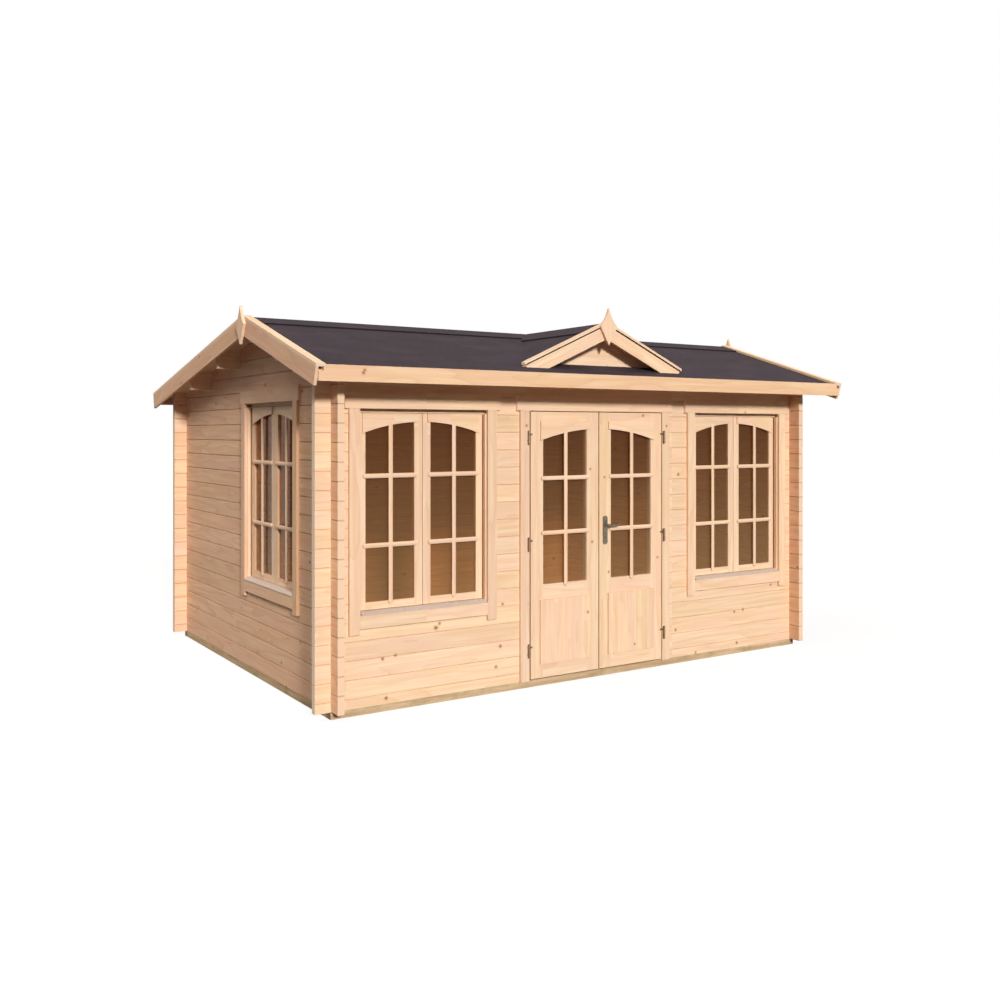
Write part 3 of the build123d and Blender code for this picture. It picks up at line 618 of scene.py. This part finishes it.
def felt(name, edges=False):
    """Roofing felt with a mineral face in a dark plum grey; with edges, faces that don't look up are near
    black.
    """
    g = paint(name)
    place = g.xyz()
    grit = g.noise(place, detail=3.0, roughness=0.7, scale=900.0)
    grain = g.cells(place, "3D", 420.0)
    luck, other = g.split(grain["Color"])[:2]
    cloud = g.noise(place, (0.55, 1.0, 1.0), 4.0, 0.62, 5.5)
    drift = g.noise(place, (0.6, 2.2, 1.0), 3.0, 0.55, 2.2)
    colour = g.tint(g.spread(cloud, 0.36, 0.66), rgb(43, 32, 36), rgb(59, 46, 52))
    colour = g.tint(g.spread(drift, 0.42, 0.68, 0.0, 0.6), colour, rgb(53, 43, 57))
    colour = g.tint(g.spread(luck, 0.55, 1.0, 0.0, 0.55), colour, rgb(79, 65, 71))
    colour = g.tint(g.spread(other, 0.62, 1.0, 0.0, 0.6), colour, rgb(29, 22, 25))
    # Near black on faces that don't look up: darker edges on the ridge caps, painted shade on the dormer's
    # turned-down felt
    if edges:
        colour = g.tint(g.under(g.facing("z"), 0.6), colour, rgb(25, 20, 22))
    height = g.plus(g.times(grit, 0.6), g.times(grain["Distance"], -0.8))
    g.surface(colour, 0.88, 0.25, g.bump(height, 0.0011, 0.7))
    return g.owner


def metal(name, colour, dark, roughness, rub=0.35, metallic=1.0):
    """Brushed or cast metal with a few dull patches. With metallic at 0 it serves for dull plastic."""
    g = paint(name)
    place = g.xyz()
    brush = g.noise(place, (900.0, 900.0, 60.0))
    patch = g.noise(place, detail=3.0, roughness=0.6, scale=55.0)
    tone = g.tint(g.spread(patch, 0.4, 0.7, 0.0, rub), colour, dark)
    tone = g.tint(g.spread(brush, 0.5, 0.8, 0.0, 0.2), tone, dark)
    rough = g.spread(patch, 0.35, 0.7, roughness, roughness + 0.14)
    g.surface(tone, rough, 0.5, g.bump(brush, 0.0001, 0.3), metallic)
    return g.owner


def glass(name):
    """Panes which the lamps shine through, with a faint warm diffuse share, larger low down: painted
    reflection and painted light from the room behind.
    """
    g = paint(name)
    place = g.xyz()
    wave = g.noise(place, detail=1.0, scale=3.0)
    # Painted reflection and painted light from inside: the diffuse share grows lower down, its colour
    # reddens higher up
    rise = g.spread(place[2], BASE + 0.6, BASE + 1.7, smooth=False)
    clearness = g.mix(rise, 0.88, 0.95)
    warmth = g.tint(rise, rgb(250, 208, 152), rgb(246, 182, 120))
    last = g.surface(warmth, 0.02, 0.35, g.bump(wave, 0.0008, 0.2), IOR=1.15,
                     **{"Transmission Weight": clearness})
    path = g.add("ShaderNodeLightPath").outputs
    for ray, colour in (("Is Diffuse Ray", rgb(250, 246, 238)), ("Is Shadow Ray", rgb(193, 185, 173))):
        last = g.blend(path[ray], last, g.plain("ShaderNodeBsdfTransparent", colour))
    g.show(last)
    return g.owner


def dress(material, *names):
    for name in names:
        piece = nodes[name]
        if not piece.material_slots:
            piece.data.materials.append(material)
        for slot in piece.material_slots:
            slot.material = material


LOG_LINES = (FIRST_JOINT, LOG, 0.0034)
SIDE_LINES = (BASE, LOG, 0.0046)
BOARD_LINES = (0.0, BOARD, 0.0016)
INFILL_LINES = (2.295, 0.6, 0.001)

# Knots that the photograph shows, each at (along, across, radius)
FRONT_KNOTS = ((-1.659, 0.321, 0.007), (-1.571, 0.333, 0.006), (-1.261, 0.496, 0.006),
               (-0.804, 0.301, 0.008), (-0.838, 0.170, 0.007), (-1.635, 0.079, 0.008),
               (-0.786, 0.575, 0.006), (0.762, 1.390, 0.008), (0.735, 0.245, 0.007),
               (1.340, 0.321, 0.007), (1.435, 0.330, 0.007), (1.367, 0.080, 0.008),
               (0.936, 0.055, 0.006), (1.742, 0.496, 0.006))
DOOR_CASING_KNOTS = ((1.746, 0.628, 0.006), (1.745, -0.609, 0.006))
LEAF_KNOTS = ((0.403, 1.820, 0.007), (0.943, -0.059, 0.006), (1.387, 0.049, 0.005),
              (0.796, 0.539, 0.005), (1.447, -0.075, 0.005), (0.723, 0.088, 0.005))
TRIM_KNOTS = ((0.462, -0.103, 0.006), (0.194, 0.318, 0.005))
FASCIA_KNOTS = ((-1.919, 2.056, 0.006), (-1.927, 2.042, 0.007))
INFILL_KNOTS = ((-0.045, 2.372, 0.011),)

dress(pine("pine_front_logs", front_courses, LOG_LINES, FRONT_KNOTS, share=0.05, line_share=0.12),
      "front_sill_logs", "front_pier_logs", "front_top_logs")
dress(pine("pine_back_logs", back_courses, LOG_LINES, tone=(0.95, 0.9, 0.88), cut_end=rgb(234, 212, 188)),
      "back_wall_logs")
# The side walls' tone is darker and warmer: partly the wood's colour, partly painted shade
dress(pine("pine_side_logs", side_courses, SIDE_LINES, share=0.12, strength=1.6, tone=(0.95, 0.84, 0.78),
           line_share=0.4, line=rgb(120, 78, 52)),
      "left_sill_logs", "left_pier_logs", "left_gable_logs", "right_wall_logs")

dress(pine("pine_window_casings", casing_layout(False), share=0.04),
      "front_left_window_casing", "front_right_window_casing")
dress(pine("pine_window_frames", frame_layout(False), share=0.03),
      "front_left_window_frame", "front_right_window_frame")
dress(pine("pine_window_sashes", sash_layout(False), share=0.02, rim="y"),
      "front_left_window_sashes", "front_right_window_sashes")
# The side casing's tone is darker and warmer: partly the wood's colour, partly painted shade
dress(pine("pine_side_casing", casing_layout(True), share=0.04, tone=(0.94, 0.85, 0.8)),
      "side_window_casing")
dress(pine("pine_side_frame", frame_layout(True), share=0.03), "side_window_frame")
dress(pine("pine_side_sashes", sash_layout(True), share=0.02, rim="x"), "side_window_sashes")

dress(pine("pine_door_casing", door_casing_layout, share=0.04, spots=DOOR_CASING_KNOTS), "door_casing")
dress(pine("pine_door_frame", door_frame_layout, share=0.03), "door_frame")
dress(pine("pine_door_leaves", leaf_layout, share=0.03, spots=LEAF_KNOTS),
      "door_left_leaf", "door_right_leaf")
dress(pine("pine_door_trim", trim_layout, share=0.03, spots=TRIM_KNOTS, rim="y"),
      "door_left_trim", "door_right_trim")
bead_pine = pine("pine_bar_beads", bead_layout("x"), share=0.0)
side_bead_pine = pine("pine_side_bar_beads", bead_layout("y"), share=0.0)

# The bargeboards' tone is darker and warmer: partly the boards' colour, partly painted shade
dress(pine("pine_bargeboards", gable_layout, share=0.3, strength=1.4, tone=(0.92, 0.8, 0.76)),
      "gable_bargeboards", "gable_battens")
dress(pine("pine_dormer_bargeboards", dormer_layout, share=0.06), "dormer_bargeboards")
dress(pine("pine_cappings", capping_layout, share=0.04), "capping_strips")
dress(pine("pine_fascias", fascia_layout, share=0.04, tone=(0.93, 0.87, 0.83), spots=FASCIA_KNOTS),
      "eave_fascias")
dress(pine("pine_finials", finial_layout, share=0.0), "finials")
dress(pine("pine_roof_boards", boards_down(gable_layout), BOARD_LINES, share=0.2, strength=1.3),
      "roof_boards")
dress(pine("pine_dormer_boards", boards_down(dormer_layout), BOARD_LINES, share=0.2, strength=1.3),
      "dormer_roof_boards")
dress(pine("pine_dormer_infill", infill_layout, INFILL_LINES, share=0.1, spots=INFILL_KNOTS),
      "dormer_infill")
dress(pine("pine_purlins", purlin_layout, share=0.15, strength=1.2), "purlins")
dress(pine("pine_floor", floor_layout, BOARD_LINES, share=0.2, strength=1.2), "floor_boards")

dress(treated("treated_beams"), "foundation_beams")
dress(felt("mineral_felt"), "roof_felt", "dormer_felt")
dress(felt("cap_felt", edges=True), "ridge_caps")
# Felt for the dormer's turned-down strips, near black on their faces: painted shade
shade_line_felt = felt("shade_line_felt", edges=True)
dress(glass("window_pane"), "window_glass", "door_left_glass", "door_right_glass")
hinge_steel = metal("hinge_steel", rgb(138, 114, 90), rgb(84, 64, 48), 0.42)
dress(hinge_steel, "door_left_hinges", "door_right_hinges", "hinge_posts")
handle_steel = metal("handle_steel", rgb(134, 124, 108), rgb(70, 64, 56), 0.3, 0.6)
dress(handle_steel, "handle_plates", "door_handle")
# Near black for the lock slots: painted shade where the keyholes open
keyhole_painted_shade = metal("keyhole_painted_shade", rgb(36, 33, 30), rgb(20, 18, 16), 0.6, metallic=0.4)
# Dark brown for the window seals: partly their own colour, partly painted shade in the reveals
seal_and_shade_brown = metal("seal_and_shade_brown", rgb(150, 106, 76), rgb(116, 78, 54), 0.6, metallic=0.0)
dress(metal("drip_aluminium", rgb(212, 192, 178), rgb(184, 164, 150), 0.5, 0.3, metallic=0.2),
      "window_drip_strips")


# Small fittings, each a mesh of its own

RIGHT = (1.0, 0.0, 0.0)
BACK = (0.0, 1.0, 0.0)
UP = (0.0, 0.0, 1.0)
LEFT = (-1.0, 0.0, 0.0)
FRONT = (0.0, -1.0, 0.0)
DOWN = (0.0, 0.0, -1.0)


def piece(name, parts, material, body, finish):
    """A piece of several shells, each a list of points and faces, that rides on a body."""
    points, faces = [], []
    for some, loops in parts:
        base = len(points)
        points.extend(some)
        faces.extend(tuple(base + index for index in loop) for loop in loops)
    mesh = bpy.data.meshes.new(name)
    mesh.from_pydata(points, [], faces)
    mesh.materials.append(material)
    thing = bpy.data.objects.new(name, mesh)
    bpy.context.scene.collection.objects.link(thing)
    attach(thing, body)


# Half the width of a bead's tip
TIP = 0.0001


def bead(start, end, along, across, out, square_end=False, radius=BAR_HALF, crown=0.004):
    """A low half-round bead, round at its ends, from its middle line's start to end."""
    steps = 6
    sides = 8
    quarters = [math.pi / 2 * i / steps for i in range(steps + 1)]
    stations = [(-math.cos(turn) * radius, start) for turn in quarters]
    if square_end:
        stations.append((0.0, end))
    else:
        stations += [(math.sin(turn) * radius, end) for turn in quarters]
    points, faces = [], []
    for offset, middle in stations:
        centre = [m + a * offset for m, a in zip(middle, along)]
        half = math.sqrt(max(radius ** 2 - offset ** 2, TIP ** 2))
        for i in range(sides + 1):
            share = math.cos(math.pi * i / sides) * half
            rise = crown * (1 - (offset ** 2 + share ** 2) / radius ** 2)
            points.append(tuple(c + w * share + o * rise for c, w, o in zip(centre, across, out)))
    width = sides + 1
    for row in range(len(stations) - 1):
        low = row * width
        for i in range(sides):
            faces.append((low + i, low + i + 1, low + width + i + 1, low + width + i))
        faces.append((low + sides, low, low + width, low + width + sides))
    faces.append(tuple(range(width)))
    last = (len(stations) - 1) * width
    faces.append(tuple(reversed(range(last, last + width))))
    return points, faces


def lattice(way, panes, foot, top, bars, place, along, out):
    """The beads of the sash or leaf on one side: one upright and two cross bars. place turns width and
    height to a point."""
    middle = way * middle_of(panes)
    reach = (panes[1] - panes[0]) / 2 + BAR_OVERLAP - BAR_HALF
    parts = [bead(place(middle, foot + BAR_HALF), place(middle, top), UP, along, out, square_end=True)]
    for height in bars:
        parts.append(bead(place(middle - reach, height), place(middle + reach, height), along, UP, out))
    return parts


def dome(centre, radius, rise, axis, sides=16, rings=4):
    """A low dome on a flat face, its top along the axis."""
    first = RIGHT if abs(axis[0]) < 0.5 else BACK
    second = (axis[1] * first[2] - axis[2] * first[1], axis[2] * first[0] - axis[0] * first[2],
              axis[0] * first[1] - axis[1] * first[0])
    points, faces = [], []
    for ring in range(rings):
        angle = math.pi / 2 * ring / rings
        wide, high = radius * math.cos(angle), rise * math.sin(angle)
        for i in range(sides):
            turn = 2 * math.pi * i / sides
            points.append(tuple(c + wide * (math.cos(turn) * f + math.sin(turn) * s) + high * a
                                for c, f, s, a in zip(centre, first, second, axis)))
    points.append(tuple(c + rise * a for c, a in zip(centre, axis)))
    top = len(points) - 1
    for ring in range(rings - 1):
        low, high = ring * sides, (ring + 1) * sides
        for i in range(sides):
            j = (i + 1) % sides
            faces.append((low + i, low + j, high + j, high + i))
    last = (rings - 1) * sides
    faces.extend((last + i, last + (i + 1) % sides, top) for i in range(sides))
    faces.append(tuple(reversed(range(sides))))
    return points, faces


def on_front(middle):
    """Turns a width from a window's middle, a place behind the wall's face and a height to a point."""
    return lambda h, back, z: (middle + h, back - WALL_Y, z)


def on_side(h, back, z):
    return back - WALL_X, SIDE_Y + h, z


# Each window: name, its places, the ways along the wall and out of it, its lift and its beads' wood
WINDOWS = (("front_left", on_front(-WINDOW_X), RIGHT, FRONT, 0.0, bead_pine),
           ("front_right", on_front(WINDOW_X), RIGHT, FRONT, 0.0, bead_pine),
           ("side", on_side, BACK, LEFT, SIDE_LIFT, side_bead_pine))
DOORS = (("left_door", -1), ("right_door", 1))

# Beads on the glazing bars
for name, place, along, out, lift, wood in WINDOWS:
    beads = []
    foot, top = SASH_GLASS_LOW - BAR_OVERLAP + lift, SASH_BEAD_END + lift
    bars = [height + lift for height in SASH_BARS]
    for way in (-1, 1):
        beads += lattice(way, SASH_GLASS, foot, top, bars,
                         lambda h, z: place(h, SASH_SETBACK - BAR_DEPTH, z), along, out)
    piece(name + "_window_bar_beads", beads, wood, "cabin", "trim_pine")
for body, way in DOORS:
    beads = lattice(way, LEAF_GLASS, LEAF_GLASS_LOW - BAR_OVERLAP, LEAF_BEAD_END, LEAF_BARS,
                    lambda h, z: (h, LEAF_FACE - BAR_DEPTH, z), RIGHT, FRONT)
    piece(body + "_bar_beads", beads, bead_pine, body, "trim_pine")

# Brown seals that run up the frames' inner faces, just in front of the sashes; their dark brown is
# partly the seals' colour, partly painted shade in the reveals' corners
SEAL_BACK = 0.0275
SEAL_LOW = SILL_TOP + 0.009
SEAL_HIGH = FRAME_HEAD - 0.012
SEAL_RADIUS = 0.006
SEAL_CROWN = 0.0025
for name, place, along, out, lift, wood in WINDOWS:
    seals = []
    into_wall = tuple(-part for part in out)
    for way in (-1, 1):
        foot, top = [place(way * FRAME_INNER, SEAL_BACK, height + lift) for height in (SEAL_LOW, SEAL_HIGH)]
        inward = tuple(-way * part for part in along)
        seals.append(bead(foot, top, UP, into_wall, inward, radius=SEAL_RADIUS, crown=SEAL_CROWN))
    piece(name + "_window_seals", seals, seal_and_shade_brown, "cabin", "trim_pine")

# Rounded ends of the hinge barrels
HINGE_X = LEAF_OUTER + 0.021
HINGE_Y = LEAF_FACE - 0.010
HINGE_HEIGHTS = (BASE + 0.203, BASE + 0.912, BASE + 1.621)
HINGE_HALF = 0.043
HINGE_RADIUS = 0.008
HINGE_DOME = 0.004
posts = []
for body, way in DOORS:
    caps = []
    for height in HINGE_HEIGHTS:
        caps.append(dome((way * HINGE_X, HINGE_Y, height + HINGE_HALF), HINGE_RADIUS, HINGE_DOME, UP))
        posts.append(dome((way * HINGE_X, HINGE_Y, height - HINGE_HALF), HINGE_RADIUS, HINGE_DOME, DOWN))
    piece(body + "_hinge_caps", caps, hinge_steel, body, "hinge_steel")
piece("hinge_post_caps", posts, hinge_steel, "cabin", "hinge_steel")

# Screws of the handle plates, and the slots of the lock on its bosses: flat, near black shapes,
# painted shade where the keyholes open
HANDLE_X = 0.053
PLATE = 0.008
PLATE_SCREWS = (BASE + 0.887, BASE + 1.061)
SCREW_RADIUS = 0.004
SCREW_RISE = 0.0014
BOSS = 0.003
SLOT_DEPTH = 0.0002
SLOT_ENDS = (BASE + 0.921, BASE + 0.915)
SLOT_RADIUS = 0.0013


def lock_slot(face, way):
    """A flat upright slot with round ends that lies on the boss of a plate."""
    half_turn = [math.pi * i / 6 for i in range(7)]
    outline = []
    for height, sign in zip(SLOT_ENDS, (1, -1)):
        radius = sign * SLOT_RADIUS
        outline += [(HANDLE_X + radius * math.cos(turn), height + radius * math.sin(turn))
                    for turn in half_turn]
    count = len(outline)
    points = [(x, face + way * depth, z) for depth in (BOSS, BOSS + SLOT_DEPTH) for x, z in outline]
    faces = [tuple(range(count)), tuple(reversed(range(count, 2 * count)))]
    faces += [(i, (i + 1) % count, count + (i + 1) % count, count + i) for i in range(count)]
    return points, faces


screws, slots = [], []
for face, out in ((LEAF_FACE - PLATE, FRONT), (LEAF_FACE + LEAF_THICKNESS + PLATE, BACK)):
    screws += [dome((HANDLE_X, face, height), SCREW_RADIUS, SCREW_RISE, out) for height in PLATE_SCREWS]
    slots.append(lock_slot(face, out[1]))
piece("handle_plate_screws", screws, handle_steel, "right_door", "handle_steel")
piece("lock_slots", slots, keyhole_painted_shade, "right_door", "handle_steel")

# Felt turned down over the dormer's bargeboards, under the cappings; its near black is painted shade
# below the cappings. Heights count from the line that falls from the ridge, whose height is given at
# the middle of the cabin.
DORMER_LINE = 2.42294
STRIP_REACH = (0.012, 0.671)
STRIP_HEIGHTS = (0.0145, 0.024)
STRIP_DEPTHS = (-1.6122, -1.6098)
STRIP_FACES = ((0, 1, 3, 2), (4, 6, 7, 5), (0, 4, 5, 1), (2, 3, 7, 6), (0, 2, 6, 4), (1, 5, 7, 3))
strips = []
for way in (-1, 1):
    points = [(way * x, y, DORMER_LINE - DORMER_TAN * x + height)
              for x in STRIP_REACH for height in STRIP_HEIGHTS for y in STRIP_DEPTHS]
    strips.append((points, STRIP_FACES))
piece("dormer_felt_edges", strips, shade_line_felt, "cabin", "roofing_felt")


def stand(name, data, place=(0.0, 0.0, 0.0), turn=(0.0, 0.0, 0.0)):
    """A camera, a lamp or the floor in the scene, turned by degrees."""
    thing = bpy.data.objects.new(name, data)
    thing.location = place
    thing.rotation_euler = [math.radians(degrees) for degrees in turn]
    bpy.context.scene.collection.objects.link(thing)
    return thing


# Camera at the photograph's viewing angle, at eye height and level
CAMERA_PLACE = (-4.4529, -7.1147, 1.7063)
CAMERA_TURN = (90.0, 0.0, -33.0)
camera_data = bpy.data.cameras.new("camera")
camera_data.sensor_width = 36.0
camera_data.lens = 36.83
camera_data.shift_y = -0.0685
bpy.context.scene.camera = stand("camera", camera_data, CAMERA_PLACE, CAMERA_TURN)

# A low lamp from the front left and a soft one from the left: strength, width in degrees, colour, turn
LAMPS = (("sun", 3.0, 7.0, (1.0, 0.985, 0.96), (70.97, 0.0, -12.2)),
         ("fill", 0.84, 36.0, (1.0, 0.95, 0.9), (0.0, -33.0, 0.0)))
for name, energy, width, colour, turn in LAMPS:
    lamp_data = bpy.data.lights.new(name, "SUN")
    lamp_data.energy = energy
    lamp_data.angle = math.radians(width)
    lamp_data.color = colour
    stand(name, lamp_data, turn=turn)

# A sky that is brighter overhead, and plain white where it is seen
SKY_COLOUR = (1.0, 0.92, 0.85, 1.0)
SKY_STRENGTH = 0.64
world = bpy.data.worlds.new("sky")
bpy.context.scene.world = world
g = Graph(world, "ShaderNodeOutputWorld")
height = g.split(g.where.outputs["Generated"])[2]
strength = g.spread(height, 0.0, 1.0, 0.0, SKY_STRENGTH, smooth=False)
g.show(g.blend(g.seen(), g.plain("ShaderNodeBackground", SKY_COLOUR, strength),
               g.plain("ShaderNodeBackground", WHITE, 1.0)))

# Plain pale floor that keeps the cabin's shadow: it glows where it is seen, and the lamps add the rest
REACH = 60.0
FLOOR_DARK = (0.1, 0.1, 0.1, 1.0)
FLOOR_SEEN = (0.16, 0.16, 0.16, 1.0)
FLOOR_GLOW = 0.88
floor_mesh = bpy.data.meshes.new("ground")
corners = [(-REACH, -REACH, 0), (REACH, -REACH, 0), (REACH, REACH, 0), (-REACH, REACH, 0)]
floor_mesh.from_pydata(corners, [], [(0, 1, 2, 3)])
g = paint("ground_white")
seen = g.seen()
both = g.add("ShaderNodeAddShader")
g.put_all((g.plain("ShaderNodeBsdfDiffuse", g.tint(seen, FLOOR_DARK, FLOOR_SEEN)),
           g.plain("ShaderNodeEmission", WHITE, g.times(seen, FLOOR_GLOW))), both.inputs)
g.show(both.outputs[0])
floor_mesh.materials.append(g.owner)
stand("ground", floor_mesh)

bpy.context.scene.view_settings.view_transform = "Standard"
